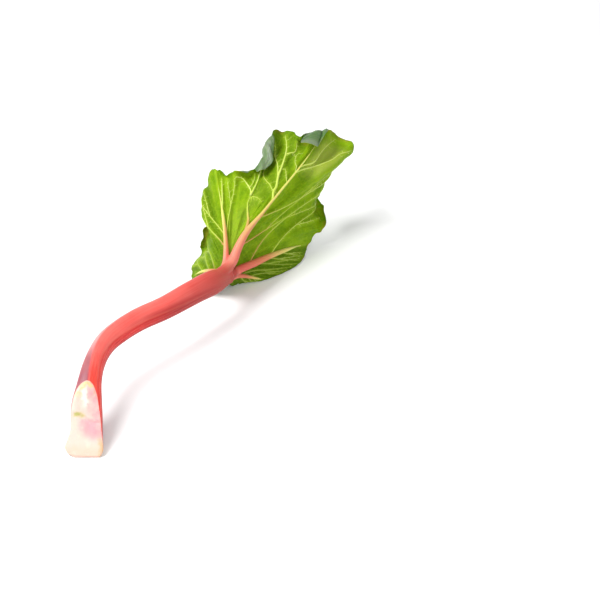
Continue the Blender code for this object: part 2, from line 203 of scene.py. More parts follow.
# Side veins that are given one by one: radius where it starts, then angle and reach of its points.
SET_VEINS = (
    (1.7, ((0, 0.27), (-3, 0.33), (-10.2, 0.415), (-18.5, 0.58), (-19.2, 0.68))),
    (1.0, ((-19.2, 0.68), (-20.5, 0.76), (-23, 0.845), (-26.5, 0.915), (-32, 0.96))),
    (1.0, ((-19.2, 0.68), (-18.2, 0.775), (-18.5, 0.86), (-17.5, 0.95))),
    (0.5, ((-18, 0.63), (-13.8, 0.575), (-8.6, 0.535), (-3.5, 0.49))),
    (
        1.4,
        (
            (3, 0.5), (0.2, 0.555), (-0.8, 0.613), (-3.8, 0.693), (-4.6, 0.755), (-5.8, 0.863),
            (-8, 0.965),
        ),
    ),
    (0.7, ((-4.3, 0.7), (-7, 0.77), (-9.8, 0.84), (-12, 0.93))),
    (0.6, ((3, 0.54), (-1.2, 0.585), (-8.5, 0.655), (-13.2, 0.735), (-14.5, 0.8))),
    (0.6, ((3.5, 0.62), (1.2, 0.66), (-0.8, 0.718), (-3, 0.765))),
    (0.45, ((3, 0.7), (0.5, 0.78), (-1.5, 0.84), (-2, 0.93))),
    (0.9, ((-45, 0.645), (-43.5, 0.713), (-42.3, 0.813), (-41.5, 0.94))),
    (0.9, ((3.2, 0.74), (6.6, 0.79), (6.2, 0.86), (6.8, 0.913), (7.8, 0.965))),
    (0.9, ((3.2, 0.7), (9, 0.79), (10.5, 0.85), (10.8, 0.9), (12, 0.972))),
    (0.5, ((-22, 0.8), (-20.5, 0.86), (-21, 0.94))),
    (0.5, ((-5.5, 0.84), (-3.5, 0.89), (-4, 0.96))),
)
# Rib, side, reaches where side veins leave it, and how far they spread from it in degrees.
VEIN_ROWS = (
    (-115, -1, (0.34, 0.58), 40), (-115, 1, (0.26, 0.46, 0.66), 42),
    (-48, -1, (0.24, 0.42, 0.6), 44), (-48, 1, (0.38,), 30), (0, 1, (0.19, 0.4), 50),
    (50, -1, (0.3, 0.55), 52), (50, 1, (0.28, 0.46, 0.64), 40), (100, -1, (0.34, 0.56), 40),
    (100, 1, (0.28, 0.46, 0.64), 42),
)
SIDE_VEIN_RADIUS = 0.62
VEIN_TIP = 0.2
VEIN_STEP = 2.5
VEIN_SIDES = 8
VEIN_BEND = 0.035
VEIN_LAST_REACH = 0.965
# How far in degrees a vein may run over its limits.
VEIN_LEEWAY = 1.5
MOST_VEIN_STEPS = 60
# Where a side vein forks, as a share of its length.
FORK_AT = 0.5
FORK_SPREAD = math.radians(24)
FORK_SHARE = 0.62
TWIG_EVERY = 11.0
TWIG_LENGTH = 8.0
TWIG_STEP = 1.5
TWIG_RADIUS = 0.26
TWIG_SPREAD = math.radians(52)
TWIG_LAST_REACH = 0.985


def ramp(value, low, high):
    """From 0 at the low value to 1 at the high one, with soft ends."""
    t = np.clip((value - low) / (high - low), 0, 1)
    return t * t * (3 - 2 * t)


def keyed(at, keys, values):
    """A smooth curve through the values at the keys."""
    keys = np.asarray(keys, float)
    values = np.asarray(values, float).reshape(len(keys), -1)
    slopes = np.gradient(values, keys, axis=0)
    at = np.clip(np.asarray(at, float), keys[0], keys[-1])
    i = np.clip(np.searchsorted(keys, at, side="right") - 1, 0, len(keys) - 2)
    width = (keys[i + 1] - keys[i])[..., None]
    t = (at - keys[i])[..., None] / width
    start = (2 * t**3 - 3 * t**2 + 1) * values[i] + (t**3 - 2 * t**2 + t) * width * slopes[i]
    end = (3 * t**2 - 2 * t**3) * values[i + 1] + (t**3 - t**2) * width * slopes[i + 1]
    return start + end


def unit(vectors):
    return vectors / np.maximum(np.linalg.norm(vectors, axis=-1, keepdims=True), 1e-9)


def lengths_along(points):
    steps = np.linalg.norm(np.diff(points, axis=0), axis=1)
    return np.concatenate([[0], np.cumsum(steps)])


def hump(value, middle, width):
    """1 at the middle, and falling to nothing on both sides."""
    return np.exp(-(((value - middle) / width) ** 2))


def waves(at, table):
    """The sum of the table's waves, each given by its length, height and phase."""
    return sum(height * np.sin(2 * math.pi * at / length + phase) for length, height, phase in table)


def looked_up(at, table, i=1):
    """A smooth curve through one column of a table, over its first column."""
    return keyed(at, [row[0] for row in table], [row[i] for row in table])


def stalk_knots():
    """Distance along the stalk of each point of its path."""
    return lengths_along(np.array(STALK_PATH, float))


def stalk_frame(distance):
    """The middle of the stalk at a distance from its start, and its round-side and edge directions."""
    knots = stalk_knots()
    middle = keyed(distance, knots, STALK_PATH)
    ahead = unit(keyed(distance + 1, knots, STALK_PATH) - keyed(distance - 1, knots, STALK_PATH))
    part = np.clip(distance / knots[-1], 0, 1)[..., None]
    outer = (1 - part) * np.array(ROUND_SIDE_AT_HEEL) + part * np.array(ROUND_SIDE_AT_FORK)
    outer = unit(outer - (outer * ahead).sum(-1, keepdims=True) * ahead)
    return middle, outer, np.cross(outer, ahead)


def stalk_sizes(distance):
    """Half width on the left and right, and half depth."""
    return np.moveaxis(looked_up(distance, STALK_SIZES), -1, 0)


def stalk_skin(distance, turn):
    """The stalk's surface, without its ridges: a D-shaped section, grooved on its flat side."""
    middle, outer, edge = stalk_frame(distance)
    left, right, depth = stalk_sizes(distance)
    across, along_edge = np.cos(turn), np.sin(turn)
    round_side = across > 0
    power = np.where(round_side, 1.0, FLAT_SIDE_POWER)
    u = np.sign(across) * np.abs(across) ** power * np.where(round_side, right, left)
    v = np.sign(along_edge) * np.abs(along_edge) ** EDGE_POWER * depth
    u = u + GROOVE_DEPTH * np.clip(-across, 0, 1) ** 3
    return middle + u[..., None] * outer + v[..., None] * edge


def leaf_base(angle, reach):
    """The leaf's smooth underlying surface."""
    half, end = looked_up(angle, LEAF_LINES), looked_up(angle, LEAF_LINES, 2)
    start = unit(looked_up(angle, FORK_DIRECTIONS))
    start = start * np.linalg.norm(4 * half - end, axis=-1, keepdims=True)
    cubic = 2 * start + 2 * end - 8 * half
    square = end - start - cubic
    reach = np.asarray(reach, float)[..., None]
    return BLADE_START + reach * start + reach**2 * square + reach**3 * cubic


def outward_at(angle, reach):
    """The direction away from the fork, along the smooth surface."""
    return unit(leaf_base(angle, reach + REACH_STEP) - leaf_base(angle, reach - REACH_STEP))


def underside(angle, reach):
    """The direction that the leaf's underside faces."""
    round_fork = leaf_base(angle + ANGLE_STEP, reach) - leaf_base(angle - ANGLE_STEP, reach)
    return unit(np.cross(round_fork, outward_at(angle, reach)))


def margin_lengths(angle):
    """Distance from the first line: along the smooth margin, and measured only across the lines."""
    angles = np.linspace(FIRST_ANGLE, LAST_ANGLE, MARGIN_SAMPLES)
    ends = leaf_base(angles, np.ones(MARGIN_SAMPLES))
    steps = np.diff(ends, axis=0)
    lines = unit((ends[1:] + ends[:-1]) / 2 - BLADE_START)
    across = np.linalg.norm(steps - (steps * lines).sum(1, keepdims=True) * lines, axis=1)
    across = np.concatenate([[0], np.cumsum(across)])
    return np.interp(angle, angles, lengths_along(ends)), np.interp(angle, angles, across)


def leaf_relief(angle, reach):
    """How far the blade stands off its smooth surface, in valleys between the ribs and waves."""
    bounds = np.array(LEAF_BOUNDS, float)
    i = np.clip(np.searchsorted(bounds, angle, side="right") - 1, 0, len(bounds) - 2)
    between = (angle - bounds[i]) / (bounds[i + 1] - bounds[i])
    apart = np.linalg.norm(leaf_base(bounds[i + 1], reach) - leaf_base(bounds[i], reach), axis=-1)
    valley = -VALLEY_DEPTH * np.maximum(apart - VALLEY_FROM, 0) * np.sin(math.pi * between)
    return valley + waves(margin_lengths(angle)[1], WAVES) * reach**WAVE_GROWTH


def leaf_middle(angle, reach):
    """The middle surface of the blade, before its veins and puckers."""
    inner_reach = np.minimum(reach, CURL_FROM)
    facing = underside(angle, inner_reach)
    outward = outward_at(angle, inner_reach)
    point = leaf_base(angle, reach)
    rest = np.linalg.norm(point - leaf_base(angle, inner_reach), axis=-1)
    curvature = sum(k * hump(angle, middle, spread) for middle, spread, k in CURLS)
    curve = curvature * rest
    straight = rest * np.sinc(curve / math.pi)
    rise = rest * np.sin(curve / 2) * np.sinc(curve / 2 / math.pi)
    aloft = np.clip(point[..., 2] / REST_HEIGHT, LEAST_RELIEF, 1)
    rise = rise + leaf_relief(angle, reach) * aloft
    point = point + (straight - rest)[..., None] * outward + rise[..., None] * facing
    over = point[..., 2] - BLADE_LOWEST
    point[..., 2] = BLADE_LOWEST + (over + np.sqrt(over**2 + BLADE_SAG_FROM**2)) / 2
    return point


def rib_angle(angle, reach):
    """The flat angle of a rib's line at each reach."""
    turn, low, high = RIB_BENDS.get(angle, (0, 0, 1))
    return angle + turn * ramp(reach, low, high)


def line_length(angle):
    """Straight length of the leaf's line at that angle."""
    ends = leaf_base(angle, np.ones_like(np.asarray(angle, float)))
    return np.linalg.norm(ends - BLADE_START, axis=-1)


def flat_place(angle, reach):
    """Where a place on the leaf lies when the leaf is spread out flat."""
    far = line_length(angle) * reach
    return np.stack([far * np.cos(np.radians(angle)), far * np.sin(np.radians(angle))], axis=-1)


def leaf_place(flat):
    """Flat angle and reach of a place on the spread leaf."""
    angle = np.degrees(np.arctan2(flat[..., 1], flat[..., 0]))
    return angle, np.linalg.norm(flat, axis=-1) / line_length(angle)


def to_row(points):
    """From millimetres in the working frame to metres in the row frame."""
    return points @ LAY_TURN_ONLY.T * MM + np.array(LAY_PLACE)


def placed(name, data):
    """A new object in the scene."""
    thing = bpy.data.objects.new(name, data)
    bpy.context.scene.collection.objects.link(thing)
    return thing


def piece_from(name, points, faces):
    """A mesh object from points in the working frame."""
    mesh = bpy.data.meshes.new(name)
    mesh.from_pydata(to_row(points).tolist(), [], faces)
    mesh.update()
    return placed(name, mesh)


def vectors_from(data, key):
    flat = np.zeros(len(data) * 3)
    data.foreach_get(key, flat)
    return flat.reshape(-1, 3)


def mesh_points(mesh):
    """The mesh's points in millimetres of the working frame."""
    return (vectors_from(mesh.vertices, "co") - np.array(LAY_PLACE)) @ LAY_TURN_ONLY / MM


def set_points(mesh, points):
    mesh.vertices.foreach_set("co", to_row(points).ravel())
    mesh.update()


def mesh_normals(mesh):
    """The mesh's point normals, turned into the working frame."""
    return vectors_from(mesh.vertex_normals, "vector") @ LAY_TURN_ONLY


def note(mesh, name, values):
    """Keeps a value, or a vector, for each point, for the material to read."""
    values = np.asarray(values, float)
    if values.ndim == 2:
        mesh.attributes.new(name, "FLOAT_VECTOR", "POINT").data.foreach_set("vector", values.ravel())
    else:
        mesh.attributes.new(name, "FLOAT", "POINT").data.foreach_set("value", values)


def smoothed(mesh, rounds):
    """The mesh's points after smoothing that keeps its volume."""
    points = mesh_points(mesh)
    edges = np.zeros(len(mesh.edges) * 2, int)
    mesh.edges.foreach_get("vertices", edges)
    edges = edges.reshape(-1, 2)
    count = np.bincount(edges.ravel(), minlength=len(points))[:, None]
    for share in SMOOTHING_SHARES * rounds:
        around = np.zeros_like(points)
        for axis in range(3):
            for a, b in (edges.T, edges.T[::-1]):
                around[:, axis] += np.bincount(a, points[b, axis], len(points))
        points = points + share * (around / count - points)
    return points


def circle(sides):
    """Angles evenly round a circle."""
    return np.arange(sides) * 2 * math.pi / sides


def tube_faces(rings, sides, first=0):
    """Faces of a closed tube whose points are in rings, with its two ends."""
    grid = first + np.arange(rings * sides).reshape(rings, sides)
    low, high = grid[:-1], grid[1:]
    around = np.stack([low, np.roll(low, -1, 1), np.roll(high, -1, 1), high], axis=-1)
    return [*around.reshape(-1, 4).tolist(), grid[0, ::-1].tolist(), grid[-1].tolist()]


def rib_line(angle, radius, tip_radius, last_reach, root_rise):
    """Points and radii of a main rib, its reach there, and the way that its outer side faces."""
    length = line_length(float(angle))
    reach = np.linspace(RIB_START / length, last_reach, RIB_STEPS)
    angles = rib_angle(angle, reach)
    slimming, low, high = RIB_SLIMMING.get(angle, (0, 0, 1))
    radii = radius + (tip_radius - radius) * reach**RIB_TAPER
    radii = radii * (1 - slimming * ramp(reach, low, high))
    radii = radii * (1 - RIB_END_SLIMMING * ramp(reach, 0.7, last_reach))
    radii = radii * (1 + ROOT_SWELL * np.exp(-reach * length / ROOT_SWELL_LENGTH))
    facing = underside(angles, reach)
    points = leaf_middle(angles, reach) + (radii + RIB_STAND_OFF)[:, None] * facing
    middle, _, edge = stalk_frame(np.array(RIB_ROOTS_AT))
    knots = np.vstack([middle + root_rise * edge, points])
    knot_radii = np.concatenate([[radius * RIB_ROOT_SHARE, radius * (1 + ROOT_SWELL)], radii])
    knot_reach = np.concatenate([[0, 0], reach])
    facing = np.vstack([facing[0], facing[0], facing])
    along = lengths_along(knots)
    even = np.linspace(0, along[-1], RIB_STEPS)
    facing = unit(keyed(even, along, facing))
    radii, reach = (np.interp(even, along, values) for values in (knot_radii, knot_reach))
    return keyed(even, along, knots), radii, reach, facing


def side_of(points, facing):
    """The sideways direction at each point of a line, by the way that it faces."""
    return unit(np.cross(unit(np.gradient(points, axis=0)), facing))


def rings_round(points, facing, wide, up):
    """Rings of points round a line, so wide to its side and so high over it."""
    side = side_of(points, facing)
    return points[:, None] + wide[..., None] * side[:, None] + up[..., None] * facing[:, None]


def rib_points(line):
    """The skin of a main rib: round outside, and reaching down into the blade on its inner side."""
    points, radii, reach, facing = line
    turn = circle(RIB_SIDES)
    up = np.outer(radii, np.sin(turn))
    on_blade = np.clip(reach / 0.12, 0, 1)[:, None]
    up = np.where(up < 0, up * (1 + on_blade * RIB_STAND_OFF / radii[:, None]), up)
    return rings_round(points, facing, np.outer(radii, np.cos(turn)), up)


def rough_flesh():
    """The stalk with its cut heel, and the ribs, as one mesh of separate closed bodies."""
    distance = np.linspace(0, stalk_knots()[-1], LOFT_RINGS)
    at, around = np.meshgrid(distance, circle(LOFT_SIDES), indexing="ij")
    skin = stalk_skin(at.ravel(), around.ravel())
    stalk = piece_from("rough_stalk", skin, tube_faces(LOFT_RINGS, LOFT_SIDES))
    shape = bmesh.new()
    shape.from_mesh(stalk.data)
    for point, normal in HEEL_CUTS:
        everything = shape.verts[:] + shape.edges[:] + shape.faces[:]
        place = LAY @ (Vector(point) * MM)
        way = LAY.to_3x3() @ Vector(normal)
        cut = bmesh.ops.bisect_plane(
            shape, geom=everything, plane_co=place, plane_no=way, clear_outer=True
        )
        rim = [item for item in cut["geom_cut"] if isinstance(item, bmesh.types.BMEdge)]
        bmesh.ops.holes_fill(shape, edges=rim)
    for spec in RIBS:
        skin = rib_points(rib_line(*spec)).reshape(-1, 3)
        made = [shape.verts.new(place) for place in to_row(skin)]
        for face in tube_faces(RIB_STEPS, RIB_SIDES):
            shape.faces.new([made[i] for i in face])
    bmesh.ops.recalc_face_normals(shape, faces=shape.faces[:])
    shape.to_mesh(stalk.data)
    shape.free()
    return stalk


def nearest(samples, points):
    """For each point, which of the samples is nearest."""
    tree = KDTree(len(samples))
    for i, sample in enumerate(samples):
        tree.insert(sample, i)
    tree.balance()
    return np.array([tree.find(point)[1] for point in points])


def build_flesh():
    """The stalk and ribs as one smooth skin, with ridges along the stalk."""
    piece = rough_flesh()
    piece.name = "stalk_flesh"
    remesh = piece.modifiers.new("fuse", "REMESH")
    remesh.mode = "VOXEL"
    remesh.voxel_size = FLESH_VOXEL * MM
    graph = bpy.context.evaluated_depsgraph_get()
    mesh = bpy.data.meshes.new_from_object(piece.evaluated_get(graph))
    piece.modifiers.clear()
    piece.data = mesh
    set_points(mesh, smoothed(mesh, FLESH_SMOOTHING))
    points = mesh_points(mesh)

    samples = np.linspace(0, stalk_knots()[-1], STALK_SAMPLES)
    middle, outer, edge = stalk_frame(samples)
    near = nearest(middle, points)
    left, right, depth = stalk_sizes(samples)
    away = points - middle[near]
    u = (away * outer[near]).sum(1)
    v = (away * edge[near]).sum(1)
    u = u / np.where(u > 0, right[near], left[near])
    v = v / depth[near]
    turn = np.arctan2(v, u)
    beyond_end = (away * unit(np.gradient(middle, axis=0))[near]).sum(1) / depth[near]
    stalk_share = np.sqrt(u**2 + v**2 + beyond_end**2)

    lines = [rib_line(*spec) for spec in RIBS]
    rib_middle, rib_radius, rib_reach, _ = (np.concatenate(part) for part in zip(*lines))
    rib_side = np.vstack([side_of(line[0], line[3]) for line in lines])
    on = nearest(rib_middle, points)
    off = points - rib_middle[on]
    blend = np.clip((stalk_share - RIB_FROM) / RIB_BLEND, 0, 1) * (near > FIRST_FORK_SAMPLE)
    side = (off * rib_side[on]).sum(1) / rib_radius[on]

    along = samples[near]
    turn = np.degrees(turn)
    below = turned(looked_up(along, RIDGED_FROM)[:, 0] - turn)
    beyond = turned(turn - looked_up(along, INNER_FROM)[:, 0])
    normals = mesh_normals(mesh)
    heel, over, up = heel_places(points, normals)
    on_stalk = (1 - blend) * (1 - heel)
    ridged = ramp(below, -8, 6) * ramp(below, 130, 100)
    ridged = np.maximum(ridged, ramp(below, -55, -30) * ramp(along, 118, 80))
    ridge = RIDGE_HEIGHT * np.cos(RIDGES * np.radians(turn)) * ridged
    ridge = ridge * on_stalk * ramp(along, 30, 60) * ramp(along, 290, 265)
    shaped = (ridge + heel * heel_relief(over, up) + heel_bulge(points, normals, up))[:, None]
    set_points(mesh, points + shaped * normals)

    turn = np.radians(turn)
    note(mesh, "skin", np.column_stack([along, np.cos(turn), np.sin(turn)]))
    note(mesh, "band", np.column_stack([below / 90, beyond / 90, np.zeros(len(points))]))
    note(mesh, "heel", np.column_stack([over / 10, up / 10, heel]))
    note(mesh, "rib", blend * (0.02 + rib_reach[on]))
    note(mesh, "rib_side", np.clip(side, -1, 1) * blend)
    note(mesh, "low_rib", blend * (on // RIB_STEPS >= FIRST_LOW_RIB))
    mesh.shade_smooth()
    return piece


def turned(degrees):
    """The angle brought between -180 and 180 degrees."""
    return (degrees + 180) % 360 - 180


def heel_places(points, normals):
    """How far each point belongs to the heel's slanting face, and its place across and up that face."""
    face_point, face_normal = np.array(HEEL_CUTS[0][0], float), np.array(HEEL_CUTS[0][1])
    up_face = np.array((0, face_normal[2], -face_normal[1]))
    gap = np.abs((points - face_point) @ face_normal)
    share = ramp(gap, 1.4, 0.5) * ramp(normals @ face_normal, 0.55, 0.85)
    return share * (points[:, 1] < HEEL_END), points[:, 0], (points - face_point) @ up_face


def heel_bulge(points, normals, up):
    """The left side of the heel swells a little beside the face."""
    left = ramp(points[:, 0], -3, -9) * (points[:, 1] < HEEL_END)
    return 1.7 * hump(up, 48, 13) * left * ramp(normals[:, 2], -0.3, 0.2)


def heel_relief(over, up):
    """The soft hollows and folds of the heel's face."""
    hollow = -1.1 * hump(over, 4, 9) * ramp(up, 2, 14) * ramp(up, 66, 40)
    curved = up - 31.5 + 0.25 * over + 1.3 * np.sin(over / 4.5)
    crease = -0.6 * hump(curved, 0, 1.7) * ramp(over, -13, -6)
    fold = 0.6 * hump(curved, 3.6, 2.4) * ramp(over, 9, -2)
    waist = over + 2 - 0.08 * (up - 50) + 1.2 * np.sin(up / 7)
    ridge = 0.75 * hump(waist, 0, 3.4) * ramp(up, 34, 46) * ramp(up, 72, 60)
    dimple = -0.6 * hump(over, 3, 3.5) * hump(up, 22, 6)
    return hollow + crease + fold + ridge + dimple


def grow_vein(place, heading, limits, radius):
    """A side vein on the spread leaf, which bends slowly outwards up to the margin or a limit."""
    places = [place]
    while len(places) < MOST_VEIN_STEPS:
        place = place + VEIN_STEP * np.array((math.cos(heading), math.sin(heading)))
        here, out = leaf_place(place)
        if out > VEIN_LAST_REACH or not limits[0] < here < limits[1]:
            break
        places.append(place)
        heading += (math.radians(here) - heading) * VEIN_BEND
    return np.array(places), radius


def forked_vein(rib, way, reach, spread):
    """A side vein that leaves a rib, with its fork."""
    angle = rib_angle(rib, reach)
    place = flat_place(np.array(angle), np.array(reach))
    limits = sorted((rib, border_beside(rib, way)))
    limits = (limits[0] - VEIN_LEEWAY, limits[1] + VEIN_LEEWAY)
    radius = SIDE_VEIN_RADIUS * (1.1 - 0.5 * reach)
    veins = [grow_vein(place, math.radians(angle + way * spread), limits, radius)]
    places = veins[0][0]
    i = int(len(places) * FORK_AT)
    if i >= 2 and len(places) - i >= 3:
        heading = heading_at(places, i) - way * FORK_SPREAD
        veins.append(grow_vein(places[i], heading, limits, radius * FORK_SHARE))
    return [vein for vein in veins if len(vein[0]) > 2]


def heading_at(places, i):
    """The direction in which a flat line comes to its place number i."""
    ahead = places[i] - places[i - 1]
    return math.atan2(ahead[1], ahead[0])


def border_beside(rib, way):
    """The flat angle midway to the next rib, or of the leaf's own end."""
    following = LEAF_BOUNDS[LEAF_BOUNDS.index(rib) + way]
    return (rib + following) / 2 if following in RIB_ANGLES else following - way * 6


def set_vein(radius, points):
    """A side vein through given places."""
    corners = np.array(points, float)
    along = lengths_along(leaf_middle(corners[:, 0], corners[:, 1]))
    even = np.linspace(0, along[-1], max(4, round(along[-1] / VEIN_STEP)))
    places = keyed(even, along, corners)
    return flat_place(places[:, 0], places[:, 1]), radius


def grow_twigs(veins, dice):
    """Short thin veins that leave the side veins by turns to either side."""
    twigs = []
    for places, _ in veins:
        along = lengths_along(places)
        at = dice.uniform(3, 5)
        way = 1
        while at < along[-1] - 1:
            start = np.array([np.interp(at, along, part) for part in places.T])
            i = min(int(np.searchsorted(along, at)), len(places) - 1)
            heading = heading_at(places, i) + way * TWIG_SPREAD
            length = TWIG_LENGTH * dice.uniform(0.7, 1.3)
            bend = -way * 0.03 * dice.uniform(0, 1)
            twig = [start]
            for _ in range(round(length / TWIG_STEP)):
                heading += bend * TWIG_STEP
                twig.append(twig[-1] + TWIG_STEP * np.array((math.cos(heading), math.sin(heading))))
            twig = np.array(twig)
            twig = twig[leaf_place(twig)[1] < TWIG_LAST_REACH]
            if len(twig) > 2:
                twigs.append((twig, TWIG_RADIUS))
            at += TWIG_EVERY * dice.uniform(0.7, 1.2) / 2
            way = -way
    return twigs


def vein_net():
    """All side veins, and the twigs that leave them."""
    dice = np.random.default_rng(7)
    veins = [set_vein(*row) for row in SET_VEINS]
    for rib, way, reaches, spread in VEIN_ROWS:
        for reach in reaches:
            veins += forked_vein(rib, way, reach + dice.uniform(-0.02, 0.02), spread)
    return veins, grow_twigs(veins, dice)


def rib_places():
    """The main ribs as lines on the spread leaf."""
    lines = []
    for angle, _, _, last_reach, _ in RIBS:
        reach = np.linspace(0, last_reach + 0.05, 40)
        lines.append(flat_place(rib_angle(angle, reach), reach))
    return lines


def gap_to_lines(flat, lines):
    """Distance from each flat place to the nearest of the lines."""
    starts = np.vstack([line[:-1] for line in lines])
    steps = np.vstack([np.diff(line, axis=0) for line in lines])
    squares = np.maximum((steps**2).sum(1), 1e-9)
    gap = np.full(len(flat), np.inf)
    for first in range(0, len(flat), 4000):
        part = flat[first:first + 4000, None]
        t = np.clip(((part - starts) * steps).sum(-1) / squares, 0, 1)
        away = part - starts - t[..., None] * steps
        gap[first:first + 4000] = np.sqrt((away**2).sum(-1).min(1))
    return gap


def fine_relief(angle, reach, flat, vein_gap):
    """How far the fine blade stands out towards its underside: veins, puckers and small ruffles."""
    veined = VEIN_RELIEF * hump(vein_gap, 0, VEIN_RELIEF_WIDTH)
    off_veins = 1 - hump(vein_gap, 0, PUCKER_WIDTH)
    lumps = np.sin(flat[..., 0] / 3.1 + 1.3) * np.sin(flat[..., 1] / 3.7 + 0.4)
    lumps = lumps + 0.6 * np.sin((flat[..., 0] + flat[..., 1]) / 5.3)
    pucker = -PUCKER_HEIGHT * off_veins * (1 + 0.35 * lumps)
    folds = waves(angle, FOLDS) * ramp(reach, 0.15, 0.5) * off_veins
    middle, spread, width, height = TIP_PLEATS
    pleats = height * np.sin(2 * math.pi * angle / width) * hump(angle, middle, spread)
    folds = folds + pleats * ramp(reach, 0.68, 0.92)
    ruffle = waves(margin_lengths(angle)[0], RUFFLES) * np.clip(reach, 0, 1) ** RUFFLE_GROWTH
    return veined + (pucker + folds) * np.clip(reach * 4, 0, 1) + ruffle


def facing_at(angle, reach):
    """The direction that the waved blade's underside faces."""
    reach = np.clip(reach, 0.03, 0.985)
    out = leaf_middle(angle, reach + 0.012) - leaf_middle(angle, reach - 0.012)
    turn = np.clip(12 / np.maximum(reach * 150, 12), 0.3, 1)
    round_fork = leaf_middle(angle + turn, reach) - leaf_middle(angle - turn, reach)
    return unit(np.cross(round_fork, out))


def roll_at(angle):
    """How far the blade runs on at this angle, and how much of it is rolled over."""
    run_on, rolled = 0.0, 0.0
    for middle, spread, further, length in ROLLS:
        share = np.exp(-np.abs((angle - middle) / spread) ** 3)
        run_on = run_on + share * further
        rolled = rolled + share * length
    return run_on, rolled


def roll_start(angle):
    """The reach where the margin begins to roll over."""
    run_on, rolled = roll_at(angle)
    turn = np.minimum(rolled / ROLL_RADIUS, 2.2)
    bulge = ROLL_RADIUS * (np.sin(turn) + ROLL_LEAN * (1 - np.cos(turn)))
    return 1 + (run_on - bulge) / line_length(angle)


def rolled_middle(angle, reach):
    """The blade's middle surface with its rolled margin, and the way that its underside faces."""
    start = roll_start(angle)
    flat_part = np.minimum(reach, start)
    point = leaf_middle(angle, flat_part)
    facing = facing_at(angle, flat_part)
    outward = unit(leaf_middle(angle, start) - leaf_middle(angle, start - REACH_STEP))
    outward = unit(outward - (outward * facing).sum(-1, keepdims=True) * facing)
    past = (reach - flat_part) * line_length(angle)
    turn = np.minimum(past / ROLL_RADIUS, ROLL_MOST)
    straight = past - turn * ROLL_RADIUS
    out = ROLL_RADIUS * np.sin(turn) + straight * np.cos(turn)
    over = ROLL_RADIUS * (1 - np.cos(turn)) + straight * np.sin(turn)
    point = point + out[..., None] * outward + over[..., None] * facing
    facing = np.cos(turn)[..., None] * facing - np.sin(turn)[..., None] * outward
    return point, facing


def fine_blade(angle, reach, lines):
    """Points of the fine blade's middle, and the way its underside faces."""
    flat = flat_place(angle, reach)
    gap = gap_to_lines(flat.reshape(-1, 2), lines).reshape(angle.shape)
    point, facing = rolled_middle(angle, reach)
    rise = fine_relief(angle, reach, flat, gap)
    aloft = np.clip(point[..., 2] / 6, 0.15, 1)
    return point + (rise * aloft)[..., None] * facing, facing, flat, gap


def build_blade(lines):
    """The blade as a thin closed sheet with a waved, scalloped margin."""
    fine = np.linspace(FIRST_ANGLE, LAST_ANGLE, COLUMN_SAMPLES)
    margin, across = margin_lengths(fine)
    along = margin + 0.6 * across
    angles = np.interp(np.linspace(0, along[-1], BLADE_COLUMNS), along, fine)
    length = line_length(angles)
    scallops = math.pi * margin_lengths(angles)[0] / SCALLOP_LENGTH
    scallop = SCALLOP_DEPTH * (np.abs(np.sin(scallops)) - 1)
    rolled = roll_at(angles)[1]
    first, last = BLADE_FROM / length, roll_start(angles) + (rolled + scallop) / length
    step = np.linspace(0, 1, BLADE_ROWS)[:, None]
    reach = first + (last - first) * step**0.95
    angle = np.broadcast_to(angles, reach.shape)
    point, facing, flat, gap = fine_blade(angle, reach, lines)
    thick = BLADE_THICKNESS * (1 - RIM_THINNING * step**16)[..., None]
    under = (point + facing * thick / 2).reshape(-1, 3)
    upper = (point - facing * thick / 2).reshape(-1, 3)

    rows, columns = reach.shape
    count = rows * columns
    grid = np.arange(count).reshape(rows, columns)
    corners = (grid[:-1, :-1], grid[:-1, 1:], grid[1:, 1:], grid[1:, :-1])
    sheet = np.stack(corners, axis=-1).reshape(-1, 4)
    rim = np.concatenate([grid[0], grid[1:, -1], grid[-1, -2::-1], grid[-2:0:-1, 0]])
    ahead = np.roll(rim, -1)
    edge = np.stack([ahead, rim, count + rim, count + ahead], axis=1)
    faces = np.vstack([sheet, count + sheet[:, ::-1], edge]).tolist()
    piece = piece_from("leaf_blade_fine", np.vstack([under, upper]), faces)
    mesh = piece.data
    kind = np.zeros(len(faces), np.int32)
    kind[len(sheet):2 * len(sheet)] = 1
    mesh.polygons.foreach_set("material_index", kind)
    flat3 = np.concatenate([flat.reshape(-1, 2), reach.reshape(-1, 1)], axis=1)
    note(mesh, "flat", np.vstack([flat3, flat3]))
    polar = np.stack([angle.ravel() / 8, reach.ravel() * 1.5, np.zeros(count)], axis=1)
    note(mesh, "polar", np.vstack([polar, polar]))
    note(mesh, "vein", np.tile(hump(gap.ravel(), 0, VEIN_TINT_WIDTH), 2))
    mesh.shade_smooth()
    return piece


def build_veins(veins, twigs, lines):
    """The side veins as thin tapering cords along the underside."""
    all_points, faces, reaches, vein_painted_shades = [], [], [], []
    first = 0
    turn = circle(VEIN_SIDES)
    for places, radius in veins + twigs:
        angle, reach = leaf_place(places)
        point, facing, _, _ = fine_blade(angle, reach, lines)
        share = np.linspace(0, 1, len(places))
        radii = radius + (VEIN_TIP * min(1, radius) - radius) * share**1.2
        up = np.outer(radii, np.sin(turn)) + 0.35 * radii[:, None] + 0.12
        rings = rings_round(point, facing, np.outer(radii, np.cos(turn)), up)
        all_points.append(rings.reshape(-1, 3))
        faces += tube_faces(len(places), VEIN_SIDES, first)
        reaches.append(np.repeat(reach, VEIN_SIDES))
        # Painted shade on the veins of the blade's outermost parts.
        vein_painted_shades.append(np.repeat(ramp(np.abs(angle + 5), 55, 75), VEIN_SIDES))
        first += rings.shape[0] * VEIN_SIDES
    piece = piece_from("side_veins", np.vstack(all_points), faces)
    note(piece.data, "rib", np.concatenate(reaches))
    note(piece.data, "vein_painted_shade", np.concatenate(vein_painted_shades))
    piece.data.shade_smooth()
    return piece


